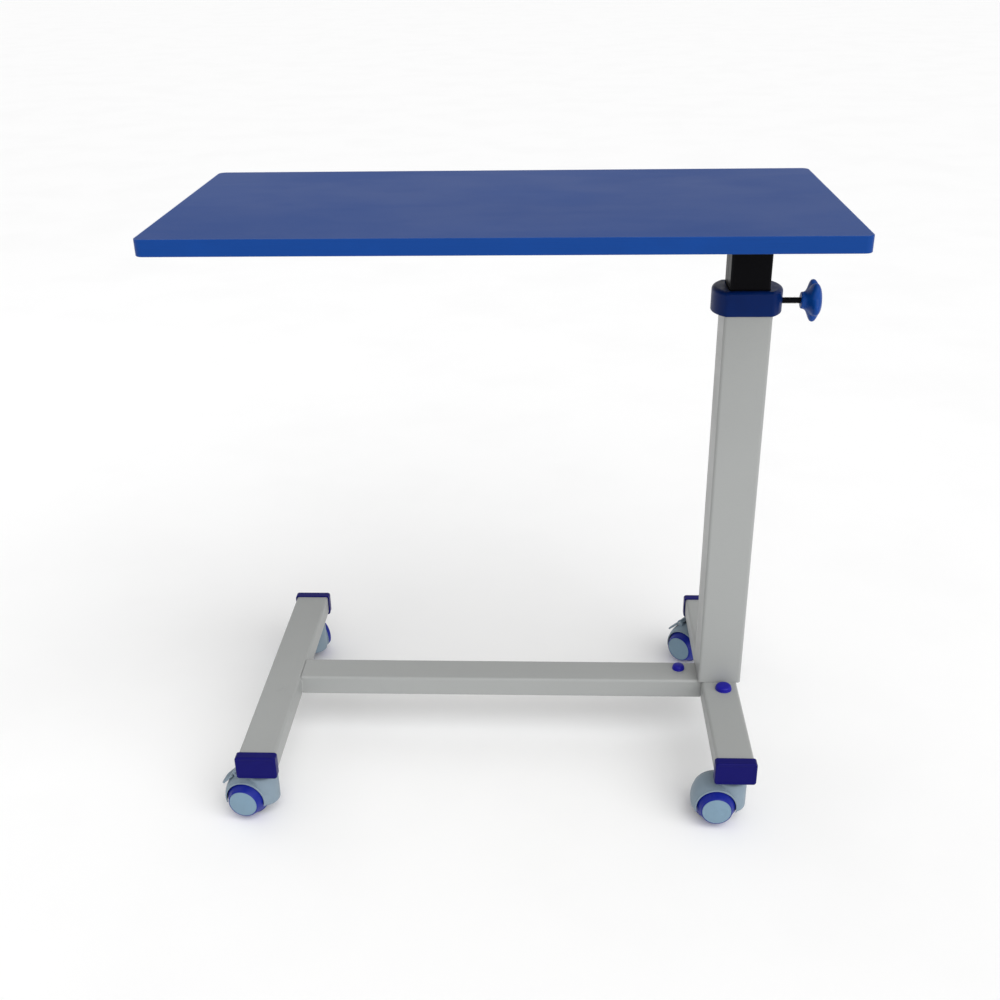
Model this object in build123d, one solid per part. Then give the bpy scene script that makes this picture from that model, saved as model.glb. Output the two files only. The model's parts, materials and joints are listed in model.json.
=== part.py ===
from build123d import *
import math
import os

os.makedirs("parts", exist_ok=True)

# Overbed table, in millimetres. X runs along the tabletop, Y from the front to the back, +Z up.
# The model is laid out with the tabletop's centre over X = 0, Y = 0 and the floor at Z = 0. On
# export it moves forward by footprint_shift, so that the origin is the middle of its footprint.
footprint_shift = 9.4

# Tabletop
top_length = 800.0
top_width = 400.0
top_height = 780.0
board_thickness = 18.2
laminate_thickness = 0.8
band_thickness = 1.5
top_corner = 10.0

# Steel support below the tabletop
strip_xs = (-140.0, 80.0, 300.0)
strip_width = 40.0
strip_length = 300.0
strip_thickness = 4.0
beam_left = -170.0
beam_overhang = 35.0
beam_width = 50.0
beam_height = 25.0
beam_wall = 2.0
beam_corner = 3.0
plug_depth = 10.0
plug_flange = 2.0
screw_ys = (-135.0, -60.0, 60.0, 135.0)
screw_radius = 2.1
screw_head_radius = 4.0
screw_head_height = 2.6
screw_grip = 12.0

# Telescopic column
column_x = 300.0
column_width = 60.0
column_wall = 1.5
column_corner = 4.0
post_shown = 58.0
post_width = 50.0
post_wall = 2.0
post_corner = 3.0
post_drop = 55.0
bush_length = 60.0
glide_length = 30.0
glide_floor = 6.0
glide_hole_radius = 12.0
slide_gap = 0.3

# Collar and clamp
collar_radius = 44.0
collar_depth = 66.0
collar_height = 31.0
collar_lip = 6.0
collar_top_round = 5.0
collar_foot_round = 1.5
clamp_drop = 19.0
screw_m8_radius = 4.0
shaft_gap = 0.05
nut_width = 18.0
nut_length = 10.0
nut_pocket_gap = 0.2
wall_hole_gap = 0.5
shoe_radius = 6.0
shoe_length = 2.2
shoe_bore_depth = 1.4
screw_tip_radius = 2.0
knob_start = 67.0
knob_length = 26.0
knob_radius = 27.0
knob_neck_radius = 10.5
knob_lobes = 5
knob_scallop_radius = 9.5
knob_scallop_place = 30.5
knob_bore_depth = 14.0

# Floor frame
leg_width = 50.0
leg_height = 30.0
leg_wall = 1.5
leg_corner = 4.0
leg_length = 444.0
left_leg_x = -332.0
end_cap_wall = 3.0
end_cap_skirt = 10.0
end_cap_lip_x = 2.3
end_cap_lip_z = 2.0
end_cap_round = 1.8
bar_width = 50.0
bar_height = 30.0
tongue_length = 60.0
tongue_wall = 3.0
tongue_gap = 0.3
foot_thickness = 12.0
strap_side_gap = 1.0
strap_end = 19.0
strap_thickness = 6.0
column_bolt_y = 12.0
leg_bolt_gap = 4.5
leg_bolt_offset = 4.0
bar_bolt_inset = 30.4
bar_bolt_y = 7.0
bolt_radius = 4.0
bolt_hole_gap = 0.2
bolt_head_radius = 6.5
bolt_head_height = 4.4
access_hole_radius = 8.0
cap_height = 7.0
cap_round = 4.5
cap_head_gap = 0.3
leg_cap_radius = 11.5
bar_cap_radius = 9.0

# Twin-wheel castors
stem_shoulder = 11.2
castor_inset = 27.0
castor_trail = 20.0
wheel_radius = 29.0
wheel_inner = 7.2
tread_outer = 14.5
tread_edge = 1.2
hub_face = 31.5
hub_radius = 20.0
hub_pocket = 1.5
wheel_recess_inner = 9.0
wheel_recess_outer = 24.0
wheel_recess_depth = 9.0
hub_cap_radius = 19.2
hub_cap_dome = 1.5
axle_radius = 3.0
axle_half = 28.5
web_half = 6.5
web_bottom = 20.0
hood_wall = 1.6
hood_crown = 1.4
hood_taper = 3.7
hood_cover = 1.5
hood_half = 22.5
hood_bottom = 23.0
wheel_gap = 1.0
housing_radius = 20.5
housing_bottom = 18.0
swivel_gap = 0.3
stem_radius = 5.0
stem_length = 23.0
stem_flange_radius = 12.0
pin_radius = 4.0
pin_bottom = 45.0
nut_across_flats = 17.0
nut_height = 8.0
pedal_angle = 68.0
pedal_stand = 4.6
pedal_pin_radius = 1.5
pedal_barrel_radius = 3.6
pedal_half = 6.6
ear_radius = 4.0
ear_inner = 7.0
ear_outer = 11.0
pedal_slope = 43.5
pedal_length = 30.0
pedal_thickness = 2.6
paddle_half = 11.0
paddle_start = 8.0

# Heights and places that follow from the sizes above
wheel_space = wheel_radius + wheel_gap
hood_shoulder = wheel_space + hood_wall
hood_radius = hood_shoulder + hood_crown
housing_top = wheel_radius + hood_radius + hood_cover
castor_height = housing_top + swivel_gap + stem_shoulder
pedal_pivot_radius = hood_radius + pedal_stand
underside = top_height - board_thickness - laminate_thickness
strip_bottom = underside - strip_thickness
beam_bottom = strip_bottom - beam_height
leg_bottom = castor_height
leg_top = leg_bottom + leg_height
collar_top = beam_bottom - post_shown
column_top = collar_top - collar_lip
collar_bottom = collar_top - collar_height
clamp_z = collar_top - clamp_drop
column_inner = column_width - 2 * column_wall
right_leg_x = column_x
post_bottom = leg_top + foot_thickness + post_drop + glide_floor
leg_bolt_y = column_width / 2 + leg_bolt_gap + leg_cap_radius
leg_end = leg_length / 2 + end_cap_wall
castor_y = leg_end - castor_inset - end_cap_wall
bar_left = left_leg_x + leg_width / 2
bar_right = right_leg_x - leg_width / 2
bar_bolt_x = bar_right - bar_bolt_inset
castors = {
    "front_left": (left_leg_x, -castor_y, 172.0),
    "front_right": (right_leg_x, -castor_y, 178.0),
    "back_left": (left_leg_x, castor_y, 130.0),
    "back_right": (right_leg_x, castor_y, 140.0),
}
braked = ("front_left", "back_right")


def block(x0, x1, y0, y1, z0, z1):
    return Pos((x0 + x1) / 2, (y0 + y1) / 2, (z0 + z1) / 2) * Box(x1 - x0, y1 - y0, z1 - z0)


def rod_z(radius, x, y, z0, z1):
    return Pos(x, y, (z0 + z1) / 2) * Cylinder(radius, z1 - z0)


def rod_x(radius, x0, x1, y, z):
    return Pos((x0 + x1) / 2, y, z) * Rot(0, 90, 0) * Cylinder(radius, x1 - x0)


def rod_y(radius, x, y0, y1, z):
    return Pos(x, (y0 + y1) / 2, z) * Rot(90, 0, 0) * Cylinder(radius, y1 - y0)


def bar(width, depth, corner, length):
    # A rounded bar along +Z from the origin
    return extrude(RectangleRounded(width, depth, corner), length)


def tube(width, depth, wall, corner, length):
    hollow = bar(width - 2 * wall, depth - 2 * wall, corner - wall, length)
    return bar(width, depth, corner, length) - hollow


def turned(outline):
    # The outline holds (radius, height) points and is turned about Z
    return revolve(Plane.XZ * make_face(outline), Axis.Z)


def dome(radius, base, height):
    # Outline of a spherical cap, from its rim to the axis
    sphere = (radius ** 2 + height ** 2) / (2 * height)
    centre = base + height - sphere
    half = math.asin(radius / sphere) / 2
    middle = (sphere * math.sin(half), centre + sphere * math.cos(half))
    return ThreePointArc((radius, base), middle, (0, base + height))


def along_x(shape, x, y, z):
    return Pos(x, y, z) * Rot(0, 90, 0) * shape


def along_y(shape, x, y, z):
    return Pos(x, y, z) * Rot(-90, 0, 0) * shape


# ---- Tabletop ----
def tabletop():
    board_length = top_length - 2 * band_thickness
    board_width = top_width - 2 * band_thickness
    board_corner = top_corner - band_thickness
    board = Pos(0, 0, underside) * bar(board_length, board_width, board_corner, board_thickness)
    laminate = bar(board_length, board_width, board_corner, laminate_thickness)
    laminate = Pos(0, 0, underside + board_thickness) * laminate
    band = tube(top_length, top_width, band_thickness, top_corner, board_thickness + laminate_thickness)
    screw_top = strip_bottom + screw_grip
    for x in strip_xs:
        for y in screw_ys:
            board -= rod_z(screw_radius, x, y, underside, screw_top)
    return {
        "tabletop_board": board,
        "tabletop_laminate": laminate,
        "edge_band": Pos(0, 0, underside) * band,
    }


def top_support():
    beam_right = column_x + beam_overhang
    beam_z = beam_bottom + beam_height / 2
    beam = along_x(
        tube(beam_height, beam_width, beam_wall, beam_corner, beam_right - beam_left),
        beam_left, 0, beam_z,
    )
    plug_core = bar(
        beam_height - 2 * beam_wall, beam_width - 2 * beam_wall, beam_corner - beam_wall, plug_depth
    )
    plug_face = Pos(0, 0, -plug_flange) * bar(beam_height, beam_width, beam_corner, plug_flange)
    plug = plug_core + plug_face
    plugs = [
        along_x(plug, beam_left, 0, beam_z),
        Pos(beam_right, 0, beam_z) * Rot(0, -90, 0) * plug,
    ]
    strips = []
    screws = []
    for x in strip_xs:
        strip = block(
            x - strip_width / 2, x + strip_width / 2, -strip_length / 2, strip_length / 2,
            strip_bottom, underside,
        )
        for y in screw_ys:
            strip -= rod_z(screw_radius, x, y, strip_bottom, underside)
            shank = rod_z(screw_radius, x, y, strip_bottom, strip_bottom + screw_grip)
            head = rod_z(screw_head_radius, x, y, strip_bottom - screw_head_height, strip_bottom)
            screws.append(shank + head)
        strips.append(strip)
    return {
        "top_beam": beam,
        "beam_plugs": Compound(plugs),
        "cross_strips": Compound(strips),
        "top_screws": Compound(screws),
    }


# ---- Telescopic column ----
def column():
    outer = Pos(column_x, 0, leg_top) * tube(
        column_width, column_width, column_wall, column_corner, column_top - leg_top
    )
    shoe_hole = shoe_radius + slide_gap
    outer -= rod_x(shoe_hole, column_x, column_x + column_width, 0, clamp_z)
    bush_wall = (column_inner - post_width) / 2 - slide_gap
    bush_corner = column_corner - column_wall
    bush = extrude(RectangleRounded(column_inner, column_inner, bush_corner), bush_length)
    bush -= bar(
        column_inner - 2 * bush_wall, column_inner - 2 * bush_wall, post_corner + slide_gap, bush_length
    )
    bush = Pos(column_x, 0, column_top - bush_length) * bush
    bush -= rod_x(shoe_hole, column_x, column_x + column_width, 0, clamp_z)
    post = Pos(column_x, 0, post_bottom) * tube(
        post_width, post_width, post_wall, post_corner, beam_bottom - post_bottom
    )
    glide_width = column_inner - 2 * slide_gap
    glide = bar(glide_width, glide_width, column_corner - column_wall - slide_gap, glide_length)
    glide -= Pos(0, 0, glide_floor) * bar(post_width, post_width, post_corner, glide_length)
    glide -= rod_z(glide_hole_radius, 0, 0, 0, glide_floor)
    glide = Pos(column_x, 0, post_bottom - glide_floor) * glide
    return {"outer_column": outer, "guide_bush": bush, "inner_post": post, "post_glide": glide}


def collar():
    barrel = rod_z(collar_radius, 0, 0, 0, collar_height)
    limits = block(
        -collar_radius, collar_radius, -collar_depth / 2, collar_depth / 2, 0, collar_height
    )
    body = barrel & limits
    body = fillet(body.edges().group_by(Axis.Z)[-1], collar_top_round)
    body = fillet(body.edges().group_by(Axis.Z)[0], collar_foot_round)
    body -= bar(column_width, column_width, column_corner, collar_height - collar_lip)
    mouth = post_width + 2 * slide_gap
    body -= bar(mouth, mouth, post_corner + slide_gap, collar_height)
    body = Pos(column_x, 0, collar_bottom) * body
    nut_start = column_x + column_width / 2
    half = nut_width / 2 + nut_pocket_gap
    body -= block(
        nut_start, nut_start + nut_length + nut_pocket_gap, -half, half, collar_bottom, clamp_z + half
    )
    hole = screw_m8_radius + wall_hole_gap
    body -= rod_x(hole, nut_start, column_x + collar_radius, 0, clamp_z)
    nut = block(
        nut_start, nut_start + nut_length, -nut_width / 2, nut_width / 2,
        clamp_z - nut_width / 2, clamp_z + nut_width / 2,
    )
    nut -= rod_x(screw_m8_radius + shaft_gap, nut_start, nut_start + nut_length, 0, clamp_z)
    return {"collar": body, "clamp_nut": nut}


def clamp():
    shoe_start = column_x + post_width / 2 + slide_gap
    shoe_end = shoe_start + shoe_length
    bore_start = shoe_end - shoe_bore_depth
    shoe = rod_x(shoe_radius, shoe_start, shoe_end, 0, clamp_z)
    shoe -= rod_x(screw_tip_radius + shaft_gap, bore_start, shoe_end, 0, clamp_z)
    shoulder = shoe_end + slide_gap
    knob_face = column_x + knob_start
    screw = rod_x(screw_m8_radius, shoulder, knob_face + knob_bore_depth, 0, clamp_z)
    screw += rod_x(screw_tip_radius, bore_start + slide_gap, shoulder, 0, clamp_z)
    flare = knob_length * 0.5
    rim = knob_length * 0.73
    outline = Polyline(
        (0, knob_length), (0, 0), (knob_neck_radius, 0), (knob_neck_radius + 1.5, knob_length * 0.2),
        (knob_radius, flare), (knob_radius, rim),
    )
    knob = turned(outline + dome(knob_radius, rim, knob_length - rim))
    for i in range(knob_lobes):
        turn = 360.0 * (i + 0.5) / knob_lobes
        groove = rod_z(knob_scallop_radius, knob_scallop_place, 0, 0, knob_length)
        knob -= Rot(0, 0, turn) * groove
    knob -= rod_z(screw_m8_radius, 0, 0, 0, knob_bore_depth)
    knob = along_x(knob, knob_face, 0, clamp_z)
    return {"clamp_shoe": shoe, "clamp_screw": screw, "clamp_knob": knob}


# ---- Floor frame ----
def bolt(x, y, seat, length, up):
    # A button-head bolt: its head sits on seat and its shank runs up or down from there
    way = 1 if up else -1
    shank_end = seat + way * length
    head_end = seat - way * bolt_head_height
    shank = rod_z(bolt_radius, x, y, min(seat, shank_end), max(seat, shank_end))
    head = rod_z(bolt_head_radius, x, y, min(seat, head_end), max(seat, head_end))
    return shank + head


def bolt_cap(radius, x, y, seat):
    cap = Cylinder(radius, cap_height)
    cap = fillet(cap.edges().group_by(Axis.Z)[-1], cap_round)
    cap = Pos(x, y, seat + cap_height / 2) * cap
    return cap - rod_z(bolt_head_radius, x, y, seat, seat + bolt_head_height + cap_head_gap)


def end_cap(x, side):
    outer_x = leg_width + 2 * end_cap_lip_x
    outer_z = leg_height + 2 * end_cap_lip_z
    cap = bar(outer_x, outer_z, leg_corner, end_cap_skirt + end_cap_wall)
    cap = fillet(cap.edges().group_by(Axis.Z)[-1], end_cap_round)
    cap -= bar(leg_width, leg_height, leg_corner, end_cap_skirt)
    start = leg_length / 2 - end_cap_skirt
    z = leg_bottom + leg_height / 2
    return Pos(x, side * start, z) * Rot(-90 * side, 0, 0) * cap


def floor_frame():
    leg = tube(leg_width, leg_height, leg_wall, leg_corner, leg_length)
    legs = {}
    for name, x in (("left_leg", left_leg_x), ("right_leg", right_leg_x)):
        shape = along_y(leg, x, -leg_length / 2, leg_bottom + leg_height / 2)
        for y in (-castor_y, castor_y):
            hole = stem_radius + bolt_hole_gap
            shape -= rod_z(hole, x, y, leg_bottom, leg_bottom + leg_wall)
        legs[name] = shape
    strap_top = leg_top - leg_wall
    strap_bottom = strap_top - strap_thickness
    strap_x = leg_width / 2 - leg_corner - strap_side_gap
    strap_y = leg_bolt_y + strap_end
    strap = block(
        column_x - strap_x, column_x + strap_x, -strap_y, strap_y, strap_bottom, strap_top
    )
    foot = Pos(column_x, 0, leg_top) * bar(
        column_inner, column_inner, column_corner - column_wall, foot_thickness
    )
    bolts = []
    caps = []
    leg_bolt_x = column_x + leg_bolt_offset
    clear = bolt_radius + bolt_hole_gap
    for side in (-1, 1):
        y = side * column_bolt_y
        bolts.append(bolt(column_x, y, strap_bottom, strap_thickness + leg_wall + foot_thickness, True))
        strap -= rod_z(clear, column_x, y, strap_bottom, strap_top)
        legs["right_leg"] -= rod_z(clear, column_x, y, strap_top, leg_top)
        legs["right_leg"] -= rod_z(access_hole_radius, column_x, y, leg_bottom, leg_bottom + leg_wall)
        foot -= rod_z(bolt_radius, column_x, y, leg_top, leg_top + foot_thickness)
        y = side * leg_bolt_y
        bolts.append(bolt(leg_bolt_x, y, leg_top, leg_wall + strap_thickness, False))
        strap -= rod_z(bolt_radius, leg_bolt_x, y, strap_bottom, strap_top)
        legs["right_leg"] -= rod_z(clear, leg_bolt_x, y, strap_top, leg_top)
        caps.append(bolt_cap(leg_cap_radius, leg_bolt_x, y, leg_top))
    bar_z = leg_top - bar_height / 2
    crossbar = along_x(
        tube(bar_height, bar_width, leg_wall, leg_corner, bar_right - bar_left), bar_left, 0, bar_z
    )
    tongue = along_x(
        tube(
            bar_height - 2 * leg_wall, bar_width - 2 * leg_wall - 2 * tongue_gap,
            tongue_wall, leg_corner, tongue_length,
        ),
        bar_right - tongue_length, 0, bar_z,
    )
    tongue_top = leg_top - leg_wall
    crossbar -= rod_z(clear, bar_bolt_x, bar_bolt_y, tongue_top, leg_top)
    tongue -= rod_z(bolt_radius, bar_bolt_x, bar_bolt_y, tongue_top - tongue_wall, tongue_top)
    bolts.append(bolt(bar_bolt_x, bar_bolt_y, leg_top, leg_wall + tongue_wall, False))
    nodes = {
        **legs,
        "leg_strap": strap,
        "column_foot": foot,
        "frame_bolts": Compound(bolts),
        "leg_bolt_caps": Compound(caps),
        "crossbar": crossbar,
        "crossbar_tongue": tongue,
        "crossbar_bolt_cap": bolt_cap(bar_cap_radius, bar_bolt_x, bar_bolt_y, leg_top),
    }
    for name, x, side in (
        ("front_left_end_cap", left_leg_x, -1), ("front_right_end_cap", right_leg_x, -1),
        ("back_left_end_cap", left_leg_x, 1), ("back_right_end_cap", right_leg_x, 1),
    ):
        nodes[name] = end_cap(x, side)
    return nodes


# ---- Castors, each made round its own stem with the trail along +X ----
def castor_stem():
    stem = rod_z(stem_radius, 0, 0, castor_height, castor_height + stem_length)
    stem += rod_z(stem_flange_radius, 0, 0, housing_top + swivel_gap, castor_height)
    return stem + rod_z(pin_radius, 0, 0, pin_bottom, housing_top + swivel_gap)


def castor_nut():
    seat = leg_bottom + leg_wall
    body = extrude(RegularPolygon(nut_across_flats / 2, 6, major_radius=False), nut_height)
    return Pos(0, 0, seat) * body - rod_z(stem_radius, 0, 0, seat, seat + nut_height)


def pedal_pivot():
    angle = math.radians(pedal_angle)
    x = castor_trail + pedal_pivot_radius * math.cos(angle)
    z = wheel_radius + pedal_pivot_radius * math.sin(angle)
    return x, z


def wheel_room():
    # The space for one wheel on the +Y side: straight over the tread, then tapering in to the hood's rim
    rim = wheel_space - hood_taper
    outline = Polyline(
        (0, web_half),
        (wheel_space, web_half),
        (wheel_space, tread_outer),
        (rim, hood_half),
        (rim, 2 * hood_half),
        (0, 2 * hood_half),
        close=True,
    )
    return along_y(turned(outline), castor_trail, 0, wheel_radius)


def hood(with_brake):
    # Swivel housing, web between the wheels and a crowned mudguard that closes in over both treads
    housing = rod_z(housing_radius, 0, 0, housing_bottom, housing_top)
    rim = hood_shoulder - hood_taper
    shell = turned(
        Polyline(
            (hood_shoulder, tread_outer),
            (rim, hood_half),
            (0, hood_half),
            (0, -hood_half),
            (rim, -hood_half),
            (hood_shoulder, -tread_outer),
        )
        + ThreePointArc((hood_shoulder, -tread_outer), (hood_radius, 0), (hood_shoulder, tread_outer))
    )
    shell = along_y(shell, castor_trail, 0, wheel_radius)
    start, reach = castor_trail - hood_radius, castor_trail + hood_radius
    shell &= block(start, reach, -hood_half, hood_half, hood_bottom, housing_top)
    web = rod_y(hood_shoulder, castor_trail, -web_half, web_half, wheel_radius)
    web &= block(start, reach, -web_half, web_half, web_bottom, housing_top)
    body = housing + shell + web
    for turn in (0, 180):
        body -= Pos(castor_trail, 0, 0) * Rot(0, 0, turn) * Pos(-castor_trail, 0, 0) * wheel_room()
    body -= rod_z(pin_radius + shaft_gap, 0, 0, pin_bottom - swivel_gap, housing_top)
    body -= rod_y(axle_radius, castor_trail, -web_half, web_half, wheel_radius)
    if with_brake:
        x, z = pedal_pivot()
        for y0, y1 in ((-ear_outer, -ear_inner), (ear_inner, ear_outer)):
            root = wheel_space + hood_wall / 2
            arm = block(root, pedal_pivot_radius, y0, y1, -ear_radius, ear_radius)
            body += Pos(castor_trail, 0, wheel_radius) * Rot(0, -pedal_angle, 0) * arm
            body += rod_y(ear_radius, x, y0, y1, z)
            body -= rod_y(pedal_pin_radius, x, y0, y1, z)
    return body


def wheel():
    # Half of a twin wheel on the +Y side, with a recess in its inner face
    outline = Polyline(
        (axle_radius + shaft_gap, wheel_inner),
        (wheel_recess_inner, wheel_inner),
        (wheel_recess_inner, wheel_inner + wheel_recess_depth),
        (wheel_recess_outer, wheel_inner + wheel_recess_depth),
        (wheel_recess_outer, wheel_inner),
        (wheel_radius - 1.5, wheel_inner),
        (wheel_radius, wheel_inner + 1.5),
        (wheel_radius, tread_outer - tread_edge),
        (wheel_radius - tread_edge, tread_outer),
        (hub_radius, hub_face),
        (hub_cap_radius, hub_face),
        (hub_cap_radius, hub_face - hub_pocket),
        (axle_radius + shaft_gap, hub_face - hub_pocket),
        close=True,
    )
    return along_y(turned(outline), castor_trail, 0, wheel_radius)


def hub_cap():
    back = hub_face - hub_pocket
    face = hub_face + hub_cap_dome
    sides = Polyline((0, face), (0, back), (hub_cap_radius, back), (hub_cap_radius, hub_face))
    return along_y(turned(sides + dome(hub_cap_radius, hub_face, hub_cap_dome)), castor_trail, 0, wheel_radius)


def pedal():
    x, z = pedal_pivot()
    plate = block(0, pedal_length, -pedal_half, pedal_half, -pedal_thickness / 2, pedal_thickness / 2)
    plate += block(
        paddle_start, pedal_length, -paddle_half, paddle_half, -pedal_thickness / 2, pedal_thickness / 2
    )
    body = Pos(x, 0, z) * Rot(0, pedal_slope, 0) * plate
    body += rod_y(pedal_barrel_radius, x, -pedal_half, pedal_half, z)
    return body - rod_y(pedal_pin_radius + shaft_gap, x, -pedal_half, pedal_half, z)


def all_castors():
    nodes = {}
    stems = []
    nuts = []
    for name, (x, y, turn) in castors.items():
        place = Pos(x, y, 0) * Rot(0, 0, turn)
        stems.append(place * castor_stem())
        nuts.append(place * castor_nut())
        nodes[f"{name}_hood"] = place * hood(name in braked)
        nodes[f"{name}_axle"] = place * rod_y(
            axle_radius, castor_trail, -axle_half, axle_half, wheel_radius
        )
        for half, flip in (("a", 1), ("b", -1)):
            side = place if flip == 1 else place * Pos(2 * castor_trail, 0, 0) * Rot(0, 0, 180)
            nodes[f"{name}_wheel_{half}"] = side * wheel()
            nodes[f"{name}_hub_cap_{half}"] = side * hub_cap()
        if name in braked:
            px, pz = pedal_pivot()
            nodes[f"{name}_pedal"] = place * pedal()
            nodes[f"{name}_pedal_pin"] = place * rod_y(pedal_pin_radius, px, -ear_outer, ear_outer, pz)
    nodes["castor_stems"] = Compound(stems)
    nodes["castor_nuts"] = Compound(nuts)
    return nodes


nodes = {
    **tabletop(),
    **top_support(),
    **column(),
    **collar(),
    **clamp(),
    **floor_frame(),
    **all_castors(),
}
for node_name, node_shape in nodes.items():
    export_step(Pos(0, -footprint_shift, 0) * node_shape, f"parts/{node_name}.step")
print(len(nodes), "nodes")
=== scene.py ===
import bpy
import json
from math import atan2, cos, degrees, hypot, pi, radians, sin
from mathutils import Euler, Matrix, Vector


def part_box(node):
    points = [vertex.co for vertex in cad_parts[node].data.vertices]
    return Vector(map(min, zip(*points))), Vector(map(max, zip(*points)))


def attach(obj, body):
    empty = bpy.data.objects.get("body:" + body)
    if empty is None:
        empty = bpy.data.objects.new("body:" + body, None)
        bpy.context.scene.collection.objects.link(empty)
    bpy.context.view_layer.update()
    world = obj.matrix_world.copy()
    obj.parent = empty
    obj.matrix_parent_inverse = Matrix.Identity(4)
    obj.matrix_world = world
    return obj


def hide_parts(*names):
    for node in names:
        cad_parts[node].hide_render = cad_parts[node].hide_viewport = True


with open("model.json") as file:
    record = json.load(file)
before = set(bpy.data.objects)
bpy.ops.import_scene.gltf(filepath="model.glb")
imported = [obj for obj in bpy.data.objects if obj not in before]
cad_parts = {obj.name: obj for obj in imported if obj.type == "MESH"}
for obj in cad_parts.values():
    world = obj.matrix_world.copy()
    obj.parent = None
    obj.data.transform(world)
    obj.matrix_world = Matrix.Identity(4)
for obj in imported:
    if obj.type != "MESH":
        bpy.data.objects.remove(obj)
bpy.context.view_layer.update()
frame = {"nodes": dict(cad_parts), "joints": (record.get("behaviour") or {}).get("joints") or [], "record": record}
nodes = frame["nodes"]
mm = 0.001


# Small tools for working on a mesh by hand
def activate(piece):
    if bpy.context.mode != "OBJECT":
        bpy.ops.object.mode_set(mode="OBJECT")
    bpy.ops.object.select_all(action="DESELECT")
    piece.select_set(True)
    bpy.context.view_layer.objects.active = piece


def clearSelection():
    if bpy.context.mode != "OBJECT":
        bpy.ops.object.mode_set(mode="OBJECT")
    bpy.ops.object.select_all(action="DESELECT")


def applyPlace(piece):
    activate(piece)
    bpy.ops.object.transform_apply(location=True, rotation=True, scale=True)


def addBox(name, low, high):
    clearSelection()
    middle = [(a + b) / 2 for a, b in zip(low, high)]
    bpy.ops.mesh.primitive_cube_add(size=1, location=middle)
    piece = bpy.context.object
    piece.name = name
    piece.scale = [b - a for a, b in zip(low, high)]
    applyPlace(piece)
    return piece


def addRod(name, radius, start, end, steps=48):
    # A cylinder from one point to another
    clearSelection()
    start, end = Vector(start), Vector(end)
    bpy.ops.mesh.primitive_cylinder_add(
        vertices=steps, radius=radius, depth=(end - start).length, location=(start + end) / 2)
    piece = bpy.context.object
    piece.name = name
    piece.rotation_mode = "QUATERNION"
    piece.rotation_quaternion = (end - start).to_track_quat("Z", "Y")
    applyPlace(piece)
    return piece


def startPick(piece, kind):
    activate(piece)
    mesh = piece.data
    for group in (mesh.vertices, mesh.edges, mesh.polygons):
        group.foreach_set("select", [False] * len(group))
    bpy.context.tool_settings.mesh_select_mode = (kind == "verts", kind == "edges", kind == "faces")
    return mesh


def pickFaces(piece, test):
    # Enters edit mode with the faces selected for which test(centre, normal) holds
    for face in startPick(piece, "faces").polygons:
        face.select = test(face.center, face.normal)
    bpy.ops.object.mode_set(mode="EDIT")


def pickEdges(piece, test):
    # Enters edit mode with the edges selected for which test(one end, other end) holds
    mesh = startPick(piece, "edges")
    for edge in mesh.edges:
        a, b = (mesh.vertices[i].co for i in edge.vertices)
        edge.select = test(a, b)
    bpy.ops.object.mode_set(mode="EDIT")


def pickAll(piece):
    activate(piece)
    bpy.context.tool_settings.mesh_select_mode = (True, False, False)
    bpy.ops.object.mode_set(mode="EDIT")
    bpy.ops.mesh.select_all(action="SELECT")


def leaveEdit():
    bpy.ops.object.mode_set(mode="OBJECT")


def applyModifier(piece, kind, **settings):
    activate(piece)
    modifier = piece.modifiers.new(kind.title(), kind)
    for key, value in settings.items():
        setattr(modifier, key, value)
    bpy.ops.object.modifier_apply(modifier=modifier.name)


def combine(piece, other, operation):
    applyModifier(piece, "BOOLEAN", object=other, operation=operation, solver="EXACT")
    bpy.data.objects.remove(other)


def softenEdges(piece, width, segments=3, angle=35):
    applyModifier(
        piece, "BEVEL", width=width, segments=segments, limit_method="ANGLE",
        angle_limit=radians(angle), use_clamp_overlap=True, harden_normals=False)


def bevelAlong(piece, axis, width, segments):
    # Rounds the four long edges of a box
    pickEdges(piece, lambda a, b: abs((a - b).normalized()[axis]) > 0.99)
    bpy.ops.mesh.bevel(offset=width, segments=segments, affect="EDGES")
    leaveEdit()


def trim(piece, point, normal):
    # Cuts away what lies past the point along the normal, and closes the cut
    pickAll(piece)
    bpy.ops.mesh.bisect(
        plane_co=point, plane_no=normal, use_fill=True, clear_outer=True, clear_inner=False)
    leaveEdit()


def drawLine(name, points):
    # A line of vertices through the points, pulled out one step at a time
    clearSelection()
    bpy.ops.mesh.primitive_plane_add(size=mm, location=points[0])
    piece = bpy.context.object
    piece.name = name
    applyPlace(piece)
    pickAll(piece)
    bpy.ops.mesh.merge(type="CENTER")
    for start, end in zip(points, points[1:]):
        step = [b - a for a, b in zip(start, end)]
        bpy.ops.mesh.extrude_region_move(TRANSFORM_OT_translate={"value": step})
    leaveEdit()
    return piece


def closeUp(piece):
    # Merges what meets and turns every face outwards
    pickAll(piece)
    bpy.ops.mesh.remove_doubles(threshold=2e-6)
    bpy.ops.mesh.normals_make_consistent(inside=False)
    leaveEdit()


def turnProfile(name, points, steps=96):
    # Spins (radius, height) points, given in millimetres, about the Z axis
    piece = drawLine(name, [(radius * mm, 0, height * mm) for radius, height in points])
    pickAll(piece)
    bpy.ops.mesh.spin(steps=steps, angle=2 * pi, center=(0, 0, 0), axis=(0, 0, 1))
    leaveEdit()
    closeUp(piece)
    return piece


def copyTo(source, name, place):
    copied = source.copy()
    copied.data = source.data.copy()
    copied.name = name
    bpy.context.scene.collection.objects.link(copied)
    copied.matrix_world = place
    applyPlace(copied)
    return copied


def placeBy(piece, place):
    piece.matrix_world = place
    applyPlace(piece)
    return piece


def joinPieces(name, pieces):
    clearSelection()
    for piece in pieces:
        piece.select_set(True)
    bpy.context.view_layer.objects.active = pieces[0]
    if len(pieces) > 1:
        bpy.ops.object.join()
    pieces[0].name = name
    return pieces[0]


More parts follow.
